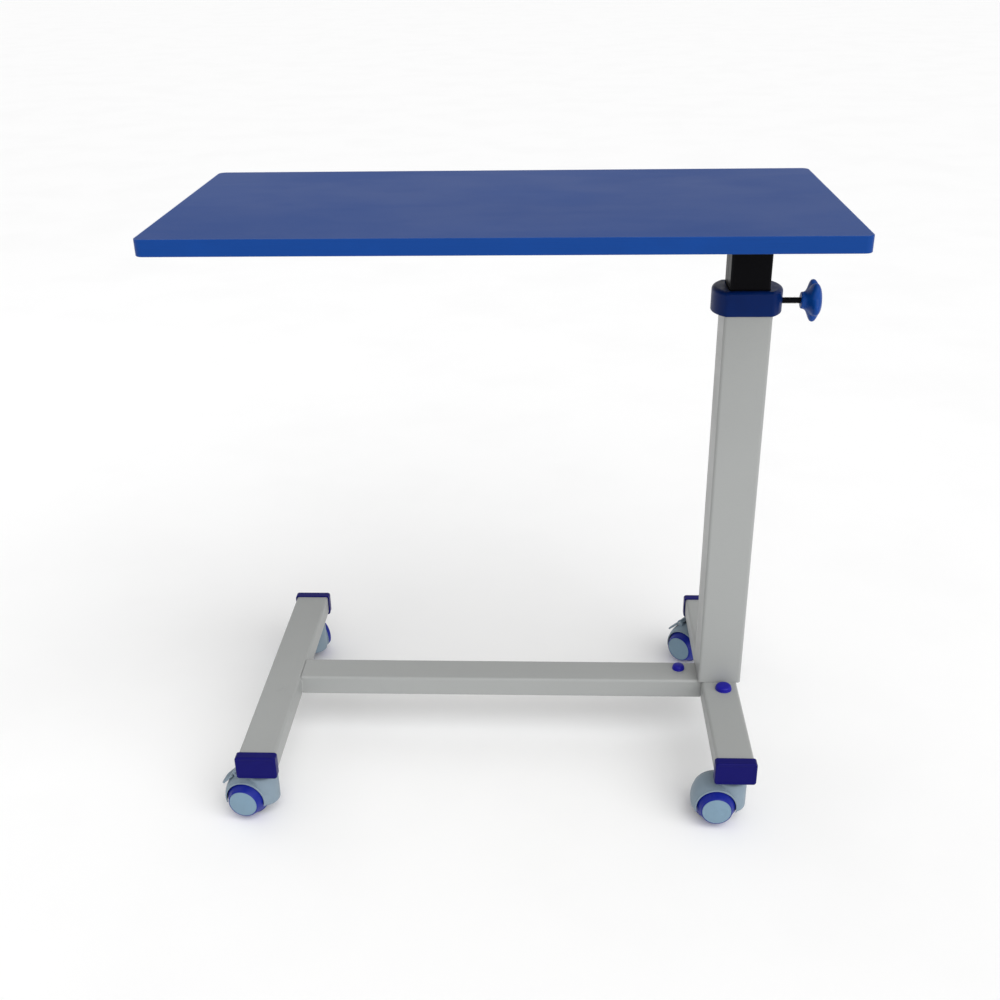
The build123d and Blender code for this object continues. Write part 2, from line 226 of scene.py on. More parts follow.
def holdFlats(piece, border=1.2 * mm):
    # A narrow border inside each large flat keeps the wear shading close to the edges
    mesh = startPick(piece, "faces")
    for face in mesh.polygons:
        corners = [mesh.vertices[i].co for i in face.vertices]
        sides = sorted((a - b).length for a, b in zip(corners, corners[1:] + corners[:1]))
        face.select = len(corners) == 4 and sides[0] > 6 * border
    bpy.ops.object.mode_set(mode="EDIT")
    bpy.ops.mesh.inset(thickness=border, depth=0, use_individual=True)
    leaveEdit()


def finishPiece(piece, body, finish, replaced=(), sharp=38):
    activate(piece)
    bpy.ops.object.shade_smooth_by_angle(angle=radians(sharp))
    applyModifier(piece, "WEIGHTED_NORMAL", keep_sharp=True, weight=60)
    piece.data.materials.clear()
    piece.data.materials.append(finish)
    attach(piece, body)
    if replaced:
        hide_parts(*replaced)
    return piece


def arc(centre, radius, start, end, steps):
    # Points on a round stretch of a profile, with angles in degrees
    turns = [radians(start + (end - start) * i / steps) for i in range(steps + 1)]
    return [(centre[0] + radius * cos(t), centre[1] + radius * sin(t)) for t in turns]


# Finishes
def tint(red, green, blue):
    # Screen colour, 0 to 255, to the shader's linear colour
    def linear(value):
        value = value / 255
        return value / 12.92 if value <= 0.04045 else ((value + 0.055) / 1.055) ** 2.4
    return (linear(red), linear(green), linear(blue), 1)


def shade(colour, factor):
    return tuple(min(1, channel * factor) for channel in colour[:3]) + (1,)


class Finish:
    # One node material, built up by adding layers to its Principled shader
    def __init__(self, name, colour, roughness, metallic=0.0):
        self.material = bpy.data.materials.new(name)
        self.material.use_nodes = True
        self.tree = self.material.node_tree
        self.shader = self.tree.nodes["Principled BSDF"]
        self.shader.inputs["Base Color"].default_value = colour
        self.shader.inputs["Roughness"].default_value = roughness
        self.shader.inputs["Metallic"].default_value = metallic
        self.place = self.add("ShaderNodeTexCoord").outputs["Object"]
        self.colour = None
        self.rough = None
        self.normal = None
        self.baseColour = colour
        self.baseRoughness = roughness

    def add(self, kind, **settings):
        node = self.tree.nodes.new(kind)
        for key, value in settings.items():
            setattr(node, key, value)
        return node

    def link(self, source, target):
        self.tree.links.new(source, target)

    def stretched(self, scale):
        mapping = self.add("ShaderNodeMapping")
        mapping.inputs["Scale"].default_value = scale
        self.link(self.place, mapping.inputs["Vector"])
        return mapping.outputs["Vector"]

    def noise(self, scale, detail=3.0, roughness=0.55, stretch=None, distortion=0.0):
        node = self.add("ShaderNodeTexNoise")
        node.inputs["Scale"].default_value = scale
        node.inputs["Detail"].default_value = detail
        node.inputs["Roughness"].default_value = roughness
        node.inputs["Distortion"].default_value = distortion
        self.link(self.stretched(stretch) if stretch else self.place, node.inputs["Vector"])
        return node.outputs["Fac"]

    def cells(self, scale, stretch=None):
        node = self.add("ShaderNodeTexVoronoi")
        node.inputs["Scale"].default_value = scale
        self.link(self.stretched(stretch) if stretch else self.place, node.inputs["Vector"])
        return node.outputs["Distance"]

    def remap(self, value, low, high, toLow=0.0, toHigh=1.0):
        node = self.add("ShaderNodeMapRange", interpolation_type="SMOOTHSTEP")
        node.inputs["From Min"].default_value = low
        node.inputs["From Max"].default_value = high
        node.inputs["To Min"].default_value = toLow
        node.inputs["To Max"].default_value = toHigh
        self.link(value, node.inputs["Value"])
        return node.outputs["Result"]

    def multiply(self, a, b):
        node = self.add("ShaderNodeMath", operation="MULTIPLY")
        self.link(a, node.inputs[0])
        if isinstance(b, (int, float)):
            node.inputs[1].default_value = b
        else:
            self.link(b, node.inputs[1])
        return node.outputs[0]

    def edges(self, low=0.505, high=0.56):
        # Rises on convex edges, where a finish rubs thin
        return self.remap(self.add("ShaderNodeNewGeometry").outputs["Pointiness"], low, high)

    def paint(self, mask, colour):
        # Lays a colour over what is there, where the mask is high
        node = self.add("ShaderNodeMix", data_type="RGBA")
        self.link(mask, node.inputs["Factor"])
        # The colour sockets of a Mix node follow its number sockets
        if self.colour is None:
            node.inputs[6].default_value = self.baseColour
        else:
            self.link(self.colour, node.inputs[6])
        node.inputs[7].default_value = colour
        self.colour = node.outputs[2]
        self.link(self.colour, self.shader.inputs["Base Color"])

    def roughen(self, mask, change):
        # Adds to the roughness where the mask is high
        node = self.add("ShaderNodeMath", operation="MULTIPLY_ADD", use_clamp=True)
        self.link(mask, node.inputs[0])
        node.inputs[1].default_value = change
        if self.rough is None:
            node.inputs[2].default_value = self.baseRoughness
        else:
            self.link(self.rough, node.inputs[2])
        self.rough = node.outputs[0]
        self.link(self.rough, self.shader.inputs["Roughness"])

    def bump(self, height, depth, strength=1.0):
        node = self.add("ShaderNodeBump")
        node.inputs["Strength"].default_value = strength
        node.inputs["Distance"].default_value = depth
        self.link(height, node.inputs["Height"])
        if self.normal is not None:
            self.link(self.normal, node.inputs["Normal"])
        self.normal = node.outputs["Normal"]
        self.link(self.normal, self.shader.inputs["Normal"])


def powderCoat(name, colour, roughness, scuff):
    look = {"peelScale": 620, "peelDepth": 0.00006, "grainScale": 2600, "grainDepth": 0.000012}
    coat = Finish(name, colour, roughness)
    coat.shader.inputs["Coat Weight"].default_value = 0.12
    coat.shader.inputs["Coat Roughness"].default_value = 0.3
    coat.paint(coat.remap(coat.noise(5, 2), 0.4, 0.7, 0, 0.5), shade(colour, 0.94))
    coat.paint(coat.remap(coat.noise(900, 2), 0.62, 0.72, 0, 0.5), shade(colour, 0.86))
    coat.paint(coat.remap(coat.noise(26, 6, 0.7, (1, 1, 0.25)), 0.62, 0.8, 0, 0.35), scuff)
    coat.paint(coat.multiply(coat.edges(0.53, 0.64), 0.15), scuff)
    coat.roughen(coat.remap(coat.noise(14, 4), 0.35, 0.75), 0.12)
    coat.roughen(coat.edges(0.52, 0.62), -0.1)
    coat.bump(coat.noise(look["peelScale"], 2, 0.4), look["peelDepth"], 0.5)
    coat.bump(coat.noise(look["grainScale"], 2), look["grainDepth"], 0.5)
    return coat.material


def slidingPaint(name, colour):
    # Black enamel with the long fine rubbing marks of a post that slides
    coat = Finish(name, colour, 0.34)
    coat.shader.inputs["Specular IOR Level"].default_value = 0.05
    coat.paint(coat.remap(coat.noise(7, 3), 0.4, 0.7, 0, 0.6), shade(colour, 1.6))
    streaks = coat.noise(420, 4, 0.65, (1, 1, 0.012))
    coat.paint(coat.remap(streaks, 0.6, 0.72, 0, 0.3), tint(27, 28, 33))
    coat.paint(coat.multiply(coat.edges(0.52, 0.62), 0.4), tint(40, 41, 47))
    coat.roughen(coat.remap(streaks, 0.45, 0.7), 0.16)
    coat.bump(coat.noise(700, 2, 0.4), 0.00004, 0.4)
    coat.bump(streaks, 0.00001, 0.6)
    return coat.material


def laminateSheet(name, colour):
    # Pearl-textured high-pressure laminate: tiny dimples, faint clouding and wiping marks
    sheet = Finish(name, colour, 0.36)
    sheet.shader.inputs["Specular IOR Level"].default_value = 0.07
    sheet.paint(sheet.remap(sheet.noise(3.2, 3, 0.5), 0.38, 0.66, 0, 0.6), shade(colour, 0.95))
    sheet.paint(sheet.remap(sheet.noise(1500, 2), 0.56, 0.66, 0, 0.35), shade(colour, 1.22))
    sheet.paint(sheet.remap(sheet.noise(1900, 2), 0.58, 0.68, 0, 0.4), shade(colour, 0.78))
    wipes = sheet.noise(11, 4, 0.5, (0.5, 1, 1), 0.4)
    sheet.paint(sheet.remap(wipes, 0.5, 0.8, 0, 0.03), tint(150, 166, 205))
    sheet.roughen(sheet.remap(wipes, 0.4, 0.7), 0.04)
    sheet.roughen(sheet.remap(sheet.noise(4, 3), 0.4, 0.7), 0.05)
    sheet.bump(sheet.cells(900), 0.00003, 0.35)
    sheet.bump(sheet.noise(2400, 2), 0.00001, 0.5)
    return sheet.material


def edgeStrip(name, colour):
    # Extruded edge banding: fine lines along its length and rubbed corners
    strip = Finish(name, colour, 0.33)
    strip.shader.inputs["Specular IOR Level"].default_value = 0.12
    lines = strip.noise(1500, 3, 0.6, (0.01, 0.01, 1))
    strip.paint(strip.remap(lines, 0.5, 0.7, 0, 0.45), shade(colour, 0.82))
    strip.paint(strip.remap(strip.noise(11, 4), 0.5, 0.8, 0, 0.35), shade(colour, 1.25))
    strip.paint(strip.multiply(strip.edges(0.52, 0.6), 0.35), tint(92, 124, 190))
    strip.roughen(strip.remap(strip.noise(30, 4), 0.4, 0.7), 0.1)
    strip.bump(lines, 0.00002, 0.5)
    strip.bump(strip.noise(1200, 2), 0.000015, 0.4)
    return strip.material


def mouldedPlastic(name, colour, roughness, sparkle=0.00003, rub=1.3, shine=0.22):
    # Injection-moulded plastic with a spark-eroded skin and faint flow marks
    part = Finish(name, colour, roughness)
    part.shader.inputs["Specular IOR Level"].default_value = shine
    part.paint(part.remap(part.noise(46, 4, 0.6, None, 1.2), 0.45, 0.75, 0, 0.5), shade(colour, 0.85))
    part.paint(part.remap(part.noise(210, 3), 0.6, 0.75, 0, 0.3), shade(colour, 1.18))
    part.paint(part.multiply(part.edges(0.53, 0.64), 0.4), shade(colour, rub))
    part.roughen(part.remap(part.noise(60, 4), 0.35, 0.7), 0.1)
    part.roughen(part.edges(0.53, 0.64), -0.08)
    part.bump(part.noise(1700, 3, 0.6), sparkle, 0.5)
    part.bump(part.noise(90, 3), 0.00008, 0.3)
    return part.material


def wheelPlastic(name, colour, dust):
    # The tread attribute is 1 on the running surface, where dust and scratches gather
    part = Finish(name, colour, 0.36)
    part.shader.inputs["Specular IOR Level"].default_value = 0.25
    tread = part.add("ShaderNodeAttribute", attribute_name="tread").outputs["Fac"]
    part.paint(part.remap(part.noise(60, 4), 0.45, 0.75, 0, 0.5), shade(colour, 0.85))
    dusty = part.multiply(tread, part.remap(part.noise(190, 5, 0.7), 0.38, 0.66, 0.1, 0.75))
    part.paint(dusty, dust)
    part.paint(part.multiply(part.edges(0.53, 0.64), 0.35), shade(colour, 1.4))
    part.roughen(dusty, 0.35)
    part.roughen(part.remap(part.noise(70, 4), 0.35, 0.7), 0.1)
    part.bump(part.noise(1500, 3), 0.00003, 0.5)
    part.bump(part.multiply(tread, part.noise(420, 4, 0.7)), 0.00012, 0.6)
    return part.material


def platedSteel(name, colour, roughness, tone):
    part = Finish(name, colour, roughness, 1.0)
    part.paint(part.remap(part.noise(120, 5, 0.65), 0.42, 0.7, 0, 0.6), shade(colour, 0.75))
    part.paint(part.remap(part.noise(18, 3), 0.45, 0.7, 0, 0.45), tone)
    part.roughen(part.remap(part.noise(300, 4), 0.35, 0.7), 0.18)
    part.bump(part.noise(900, 4, 0.6, (1, 1, 0.2)), 0.00003, 0.6)
    return part.material


def backingBoard(name, colour):
    # Underside of the board: a pale balancing sheet with paper fibres
    sheet = Finish(name, colour, 0.62)
    sheet.paint(sheet.remap(sheet.noise(8, 4), 0.4, 0.7, 0, 0.6), shade(colour, 0.9))
    sheet.paint(sheet.remap(sheet.noise(700, 3, 0.6, (0.2, 1, 1)), 0.58, 0.7, 0, 0.5), shade(colour, 0.72))
    sheet.paint(sheet.remap(sheet.noise(1100, 2), 0.64, 0.72, 0, 0.6), shade(colour, 1.25))
    sheet.roughen(sheet.remap(sheet.noise(90, 4), 0.35, 0.7), 0.12)
    sheet.bump(sheet.noise(900, 3, 0.6, (0.3, 1, 1)), 0.00005, 0.5)
    return sheet.material


finishes = {
    "paint": powderCoat("greyPowderCoat", tint(153, 155, 154), 0.42, tint(126, 128, 128)),
    "black_paint": slidingPaint("blackEnamel", tint(5, 5, 8)),
    "steel": platedSteel("bareSteel", tint(128, 130, 134), 0.42, tint(116, 112, 108)),
    "zinc": platedSteel("zincPlating", tint(178, 181, 186), 0.3, tint(188, 184, 160)),
    "black_steel": platedSteel("blackOxide", tint(34, 35, 40), 0.38, tint(52, 46, 44)),
    "brass": platedSteel("turnedBrass", tint(190, 158, 92), 0.32, tint(150, 116, 66)),
    "navy_plastic": mouldedPlastic("navyPlastic", tint(10, 8, 90), 0.36, shine=0.1),
    "collar_plastic": mouldedPlastic("collarPlastic", tint(1, 30, 86), 0.3, shine=0.08),
    "knob_plastic": mouldedPlastic("knobPlastic", tint(8, 64, 142), 0.34, shine=0.15),
    "black_plastic": mouldedPlastic("blackPlastic", tint(22, 22, 24), 0.5),
    "board": backingBoard("balancingSheet", tint(176, 170, 160)),
    "laminate": laminateSheet("blueLaminate", tint(17, 60, 126)),
    "edge": edgeStrip("blueEdging", tint(7, 60, 133)),
    "hood_plastic": mouldedPlastic("paleHoodPlastic", tint(122, 139, 152), 0.4, 0.00003, 1.1, 0.4),
    "wheel_plastic": wheelPlastic("blueWheelPlastic", tint(12, 30, 132), tint(76, 80, 112)),
    "hub_plastic": mouldedPlastic("paleHubPlastic", tint(114, 141, 160), 0.34, 0.00002, 1.1, 0.4),
}
finishes["dome_plastic"] = mouldedPlastic("domePlastic", tint(20, 15, 140), 0.32)
print("finishes made:", len(finishes))


# Tabletop
def makeTabletop():
    # Laminate sheet and edge band, both with the board's rounded corners
    top = {"corner": 10 * mm, "band": 1.5 * mm, "cornerSteps": 12, "arris": 0.9 * mm, "seam": 0.15 * mm,
           "border": 6 * mm}
    low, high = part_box("tabletop_laminate")
    sheet = addBox("laminateSheet", low, high)
    bevelAlong(sheet, 2, top["corner"] - top["band"], top["cornerSteps"])
    pickFaces(sheet, lambda centre, normal: normal.z > 0.9)
    bpy.ops.mesh.inset(thickness=top["border"], depth=0)
    leaveEdit()
    softenEdges(sheet, top["seam"], 2, 60)
    finishPiece(sheet, "top", finishes["laminate"], ["tabletop_laminate"])
    low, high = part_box("edge_band")
    band = addBox("blueEdging", low, high)
    bevelAlong(band, 2, top["corner"], top["cornerSteps"])
    pickFaces(band, lambda centre, normal: abs(normal.z) > 0.9)
    bpy.ops.mesh.delete(type="FACE")
    leaveEdit()
    applyModifier(band, "SOLIDIFY", thickness=top["band"], offset=-1, use_even_offset=True)
    pickEdges(band, lambda a, b: isOuterRim(a, low, high) and isOuterRim(b, low, high) and a.z == b.z)
    bpy.ops.mesh.bevel(offset=top["arris"], segments=4, affect="EDGES")
    leaveEdit()
    finishPiece(band, "top", finishes["edge"], ["edge_band"])


def isOuterRim(point, low, high):
    # On the outer outline of a rounded rectangle, not on the wall's inner side
    corner = 10 * mm
    dx = max(abs(point.x - (low.x + high.x) / 2) - (high.x - low.x) / 2 + corner, 0)
    dy = max(abs(point.y - (low.y + high.y) / 2) - (high.y - low.y) / 2 + corner, 0)
    return abs(hypot(dx, dy) - corner) < 0.3 * mm


def makeTube(name, low, high, axis, corner, wall, rim=0.4 * mm):
    piece = addBox(name, low, high)
    bevelAlong(piece, axis, corner, 6)
    pickFaces(piece, lambda centre, normal: abs(normal[axis]) > 0.9)
    bpy.ops.mesh.delete(type="FACE")
    leaveEdit()
    applyModifier(piece, "SOLIDIFY", thickness=wall, offset=-1, use_even_offset=True)
    softenEdges(piece, rim, 2, 60)
    holdFlats(piece)
    return piece


def makeTopSupport():
    beam = {"corner": 3 * mm, "wall": 2 * mm, "plugFlange": 2 * mm, "plugEdge": 0.4 * mm,
            "plugPanel": 3 * mm, "panelDepth": 0.7 * mm, "plugFit": 0.1 * mm, "plugReach": 9 * mm}
    low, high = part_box("top_beam")
    piece = makeTube("underBeam", low, high, 0, beam["corner"], beam["wall"])
    finishPiece(piece, "top", finishes["black_paint"], ["top_beam"])
    plugs = []
    for side in (-1, 1):
        face = low.x if side < 0 else high.x
        out = face + side * beam["plugFlange"]
        plug = addBox("beamPlug", (min(face, out), low.y, low.z), (max(face, out), high.y, high.z))
        bevelAlong(plug, 0, beam["corner"], 6)
        pickFaces(plug, lambda centre, normal: normal.x * side > 0.9)
        bpy.ops.mesh.inset(thickness=beam["plugPanel"], depth=0)
        bpy.ops.transform.translate(value=(-side * beam["panelDepth"], 0, 0))
        leaveEdit()
        pickFaces(plug, lambda centre, normal: normal.x * side < -0.9)
        bpy.ops.mesh.inset(thickness=beam["wall"] + beam["plugFit"], depth=0)
        bpy.ops.mesh.extrude_region_move(TRANSFORM_OT_translate={"value": (-side * beam["plugReach"], 0, 0)})
        leaveEdit()
        softenEdges(plug, beam["plugEdge"], 2, 50)
        plugs.append(plug)
    plugs = joinPieces("beamPlugs", plugs)
    finishPiece(plugs, "top", finishes["black_plastic"], ["beam_plugs"])


def makeStrips():
    strip = {"width": 40 * mm, "corner": 4 * mm, "xs": (-140, 80, 300), "ys": (-135, -60, 60, 135)}
    low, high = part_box("cross_strips")
    middle = (low.y + high.y) / 2
    strips = []
    for x in strip["xs"]:
        left, right = x * mm - strip["width"] / 2, x * mm + strip["width"] / 2
        piece = addBox("crossStrip", (left, low.y, low.z), (right, high.y, high.z))
        bevelAlong(piece, 2, strip["corner"], 5)
        softenEdges(piece, 0.5 * mm, 2, 60)
        strips.append(piece)
    piece = joinPieces("crossStrips", strips)
    finishPiece(piece, "top", finishes["black_paint"], ["cross_strips"])
    head = {"radius": 4, "height": 2.6, "slot": 0.9, "slotDepth": 1.3, "slotReach": 0.62,
            "slotStep": 0.05 * mm, "turn": 37}
    r, h = head["radius"], head["height"]
    outline = [(0, -h), (0.35 * r, -0.98 * h), (0.7 * r, -0.84 * h), (0.93 * r, -0.52 * h), (r, -0.15 * h),
               (r, 0), (0, 0)]
    screw = turnProfile("screwHead", outline, 32)
    for turn in (0, 1):
        half = [head["slot"] / 2 * mm, head["slot"] / 2 * mm]
        half[turn] = head["slotReach"] * r * mm
        bottom = (head["slotDepth"] - h) * mm - turn * head["slotStep"]
        cross = addBox("cross", (-half[0], -half[1], -h * mm - mm), (half[0], half[1], bottom))
        combine(screw, cross, "DIFFERENCE")
    places = [(x * mm, middle + y * mm) for x in strip["xs"] for y in strip["ys"]]
    screws = []
    for i, (x, y) in enumerate(places):
        turned = Matrix.Translation((x, y, low.z)) @ Matrix.Rotation(radians(head["turn"] * i), 4, "Z")
        screws.append(copyTo(screw, "topScrew", turned))
    bpy.data.objects.remove(screw)
    screws = joinPieces("topScrews", screws)
    finishPiece(screws, "top", finishes["zinc"], ["top_screws"])


# Column and clamp
def makeColumn():
    column = {
        "corner": 4 * mm, "wall": 1.5 * mm, "postCorner": 3 * mm, "postWall": 2 * mm, "bead": 1.8 * mm,
        "window": 6.3 * mm, "windowReach": 4 * mm,
    }
    low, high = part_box("outer_column")
    outer = makeTube("greyColumn", low, high, 2, column["corner"], column["wall"])
    shoeLow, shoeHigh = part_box("clamp_shoe")
    shoe = (shoeLow + shoeHigh) / 2
    start, end = (high.x - column["windowReach"], shoe.y, shoe.z), (high.x + mm, shoe.y, shoe.z)
    window = addRod("window", column["window"], start, end, 40)
    combine(outer, window, "DIFFERENCE")
    finishPiece(outer, "base", finishes["paint"], ["outer_column"])
    low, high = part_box("inner_post")
    post = makeTube("blackPost", low, high, 2, column["postCorner"], column["postWall"])
    finishPiece(post, "top", finishes["black_paint"], ["inner_post"])
    inset = column["postCorner"] + mm
    beads = []
    for x in (low.x, high.x):
        beads.append(makeWeld((x, low.y + inset, high.z), (x, high.y - inset, high.z), column["bead"]))
    welds = joinPieces("postWelds", beads)
    finishPiece(welds, "top", finishes["black_paint"])


def makeWeld(start, end, radius):
    # A weld bead between two points, with the ripples that its overlapping pools leave
    ripple = {"pitch": 1.7 * mm, "depth": 0.17, "loop": 0.4 * mm, "tip": 0.55, "taper": 2.5}
    start, end = Vector(start), Vector(end)
    along = (end - start).normalized()
    bead = addRod("weldBead", radius, start, end, 16)
    pickEdges(bead, lambda a, b: abs((a - b).normalized().dot(along)) > 0.99)
    bpy.ops.mesh.subdivide(number_cuts=int((end - start).length / ripple["loop"]))
    leaveEdit()
    for vertex in bead.data.vertices:
        reach = (vertex.co - start).dot(along)
        centre = start + along * reach
        fromEnd = min(reach, (end - start).length - reach)
        endTaper = min(1, ripple["tip"] + fromEnd / (ripple["taper"] * radius))
        factor = (1 - ripple["depth"] * ((reach / ripple["pitch"]) % 1)) * endTaper
        vertex.co = centre + (vertex.co - centre) * factor
    return bead


def makeCollar():
    collar = {
        "corner": 6.5 * mm, "topRound": 5 * mm, "footRound": 1.5 * mm, "lip": 6 * mm,
        "mouthGap": 0.3 * mm, "mouthCorner": 3.3 * mm, "seatCorner": 4 * mm, "hole": 4.6 * mm,
        "nutGap": 0.3 * mm, "rim": 0.8 * mm,
    }
    low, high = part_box("collar")
    middle = (low + high) / 2
    radius, half, corner = (high.x - low.x) / 2, (high.y - low.y) / 2, collar["corner"]
    # Round sides and two flats, with an arc where they meet
    cornerX, cornerY = ((radius - corner) ** 2 - (half - corner) ** 2) ** 0.5, half - corner
    meet = degrees(atan2(cornerY, cornerX))
    quarter = arc((cornerX, cornerY), corner, 90, meet, 6) + arc((0, 0), radius, meet, 0, 22)[1:]
    right = quarter + [(x, -y) for x, y in reversed(quarter[:-1])]
    outline = right + [(-x, -y) for x, y in right]
    piece = drawLine("columnCollar", [(middle.x + x, middle.y + y, low.z) for x, y in outline])
    pickAll(piece)
    bpy.ops.mesh.edge_face_add()
    bpy.ops.mesh.extrude_region_move(TRANSFORM_OT_translate={"value": (0, 0, high.z - low.z)})
    leaveEdit()
    closeUp(piece)
    for level, width, steps in ((high.z, collar["topRound"], 8), (low.z, collar["footRound"], 4)):
        pickEdges(piece, lambda a, b: abs(a.z - level) < 1e-5 and abs(b.z - level) < 1e-5)
        bpy.ops.mesh.bevel(offset=width, segments=steps, affect="EDGES")
        leaveEdit()
    tubeLow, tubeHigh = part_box("outer_column")
    step = high.z - collar["lip"]
    seat = addBox("seat", (tubeLow.x, tubeLow.y, low.z - mm), (tubeHigh.x, tubeHigh.y, step))
    bevelAlong(seat, 2, collar["seatCorner"], 6)
    combine(piece, seat, "DIFFERENCE")
    postLow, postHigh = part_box("inner_post")
    gap = collar["mouthGap"]
    mouthLow = (postLow.x - gap, postLow.y - gap, step - mm)
    mouthHigh = (postHigh.x + gap, postHigh.y + gap, high.z + mm)
    mouth = addBox("mouth", mouthLow, mouthHigh)
    bevelAlong(mouth, 2, collar["mouthCorner"], 6)
    combine(piece, mouth, "DIFFERENCE")
    nutLow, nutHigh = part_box("clamp_nut")
    gap = collar["nutGap"]
    pocketLow = (tubeHigh.x - mm, nutLow.y - gap, nutLow.z - gap)
    pocketHigh = (nutHigh.x + gap, nutHigh.y + gap, nutHigh.z + gap)
    pocket = addBox("pocket", pocketLow, pocketHigh)
    combine(piece, pocket, "DIFFERENCE")
    screwLow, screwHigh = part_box("clamp_screw")
    axisZ = (screwLow.z + screwHigh.z) / 2
    start, end = (nutHigh.x - mm, middle.y, axisZ), (high.x + mm, middle.y, axisZ)
    hole = addRod("hole", collar["hole"], start, end, 40)
    combine(piece, hole, "DIFFERENCE")
    pickEdges(piece, lambda a, b: isMouthEdge(a, b, high.z, postLow, postHigh))
    bpy.ops.mesh.bevel(offset=collar["rim"], segments=3, affect="EDGES")
    leaveEdit()
    finishPiece(piece, "base", finishes["collar_plastic"], ["collar"])


def isMouthEdge(a, b, level, low, high):
    inside = all(low.x - mm < p.x < high.x + mm and low.y - mm < p.y < high.y + mm for p in (a, b))
    return inside and abs(a.z - level) < 1e-5 and abs(b.z - level) < 1e-5


def makeClampScrew():
    thread = {"crest": 4 * mm, "root": 3.35 * mm, "pitch": 1.25 * mm, "steps": 28, "tip": 2 * mm,
              "tipLength": 1.4 * mm, "tipEdge": 0.3 * mm}
    low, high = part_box("clamp_screw")
    middle = (low + high) / 2
    shoulder = low.x + thread["tipLength"]
    pitch, root, crest = thread["pitch"], thread["root"], thread["crest"]
    turns = int((high.x - shoulder) / pitch) + 3
    # One pitch of the outline, which the Screw modifier winds along the axis
    start = shoulder - pitch
    outline = ((0, root), (0.15, root), (0.48, crest), (0.64, crest), (1, root))
    points = [(start + along * pitch, middle.y, middle.z + out) for along, out in outline]
    screw = drawLine("clampScrew", points)
    clearSelection()
    bpy.ops.object.empty_add(location=(start, middle.y, middle.z))
    screwAxis = bpy.context.object
    applyModifier(
        screw, "SCREW", axis="X", angle=2 * pi, screw_offset=pitch, iterations=turns, object=screwAxis,
        steps=thread["steps"], render_steps=thread["steps"])
    bpy.data.objects.remove(screwAxis)
    closeUp(screw)
    trim(screw, (shoulder, 0, 0), (-1, 0, 0))
    trim(screw, (high.x, 0, 0), (1, 0, 0))
    closeUp(screw)
    tip = addRod("tip", thread["tip"], (low.x, middle.y, middle.z), (shoulder + mm, middle.y, middle.z), 28)
    softenEdges(tip, thread["tipEdge"], 2, 50)
    screw = joinPieces("clampScrew", [screw, tip])
    finishPiece(screw, "knob", finishes["black_steel"], ["clamp_screw"], 50)


def makeKnob():
    knob = {"lobes": 5, "stepsPerLobe": 22, "hub": 11 * mm, "rim": 27 * mm, "valley": 0.235,
            "sharpness": 1.35, "spread": 0.8}
    low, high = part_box("clamp_knob")
    outline = [
        (0, 0), (8.6, 0), (9.8, 0.3), (10.4, 1.2), (10.6, 3.4), (11.4, 5.4), (13.2, 7.0), (16.6, 8.8),
        (20.6, 10.4), (24.0, 11.8), (26.2, 13.4), (27.0, 15.2), (27.0, 16.8), (26.3, 18.5), (24.4, 20.1),
        (21.0, 21.9), (16.8, 23.5), (12.0, 24.7), (7.0, 25.5), (0, 26),
    ]
    piece = turnProfile("starKnob", outline, knob["lobes"] * knob["stepsPerLobe"])
    for vertex in piece.data.vertices:
        radius = hypot(vertex.co.x, vertex.co.y)
        if radius < knob["hub"]:
            continue
        turn = atan2(vertex.co.y, vertex.co.x)
        hollow = (0.5 - 0.5 * cos(knob["lobes"] * turn)) ** knob["sharpness"]
        weight = min(1, (radius - knob["hub"]) / (knob["rim"] - knob["hub"])) ** knob["spread"]
        factor = 1 - knob["valley"] * hollow * weight
        vertex.co.x *= factor
        vertex.co.y *= factor
    screwLow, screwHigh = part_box("clamp_screw")
    axisZ = (screwLow.z + screwHigh.z) / 2
    place = Matrix.Translation((low.x, (low.y + high.y) / 2, axisZ))
    placeBy(piece, place @ Matrix.Rotation(pi / 2, 4, "Y"))
    applyModifier(piece, "SUBSURF", levels=1, render_levels=1)
    finishPiece(piece, "knob", finishes["knob_plastic"], ["clamp_knob"], 60)


# Floor frame
def makeFloorFrame():
    leg = {"corner": 4 * mm, "wall": 1.5 * mm, "bead": 1.8 * mm, "access": 8 * mm, "accessX": 300 * mm,
           "accessY": 12 * mm, "accessDepth": 5 * mm}
    for name, node in (("leftLegTube", "left_leg"), ("rightLegTube", "right_leg")):
        low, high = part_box(node)
        piece = makeTube(name, low, high, 1, leg["corner"], leg["wall"])
        if node == "right_leg":
            for side in (-1, 1):
                y = (low.y + high.y) / 2 + side * leg["accessY"]
                start, end = (leg["accessX"], y, low.z - mm), (leg["accessX"], y, low.z + leg["accessDepth"])
                hole = addRod("hole", leg["access"], start, end)
                combine(piece, hole, "DIFFERENCE")
        finishPiece(piece, "base", finishes["paint"], [node])
    low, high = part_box("crossbar")
    piece = makeTube("floorCrossbar", low, high, 0, leg["corner"], leg["wall"])
    finishPiece(piece, "base", finishes["paint"], ["crossbar"])
    inset = leg["corner"] + 0.5 * mm
    beads = []
    for y in (low.y, high.y):
        beads.append(makeWeld((low.x, y, low.z + inset), (low.x, y, high.z - inset), leg["bead"]))
    beads.append(makeWeld((low.x, low.y + inset, low.z), (low.x, high.y - inset, low.z), leg["bead"]))
    welds = joinPieces("crossbarWelds", beads)
    finishPiece(welds, "base", finishes["paint"])


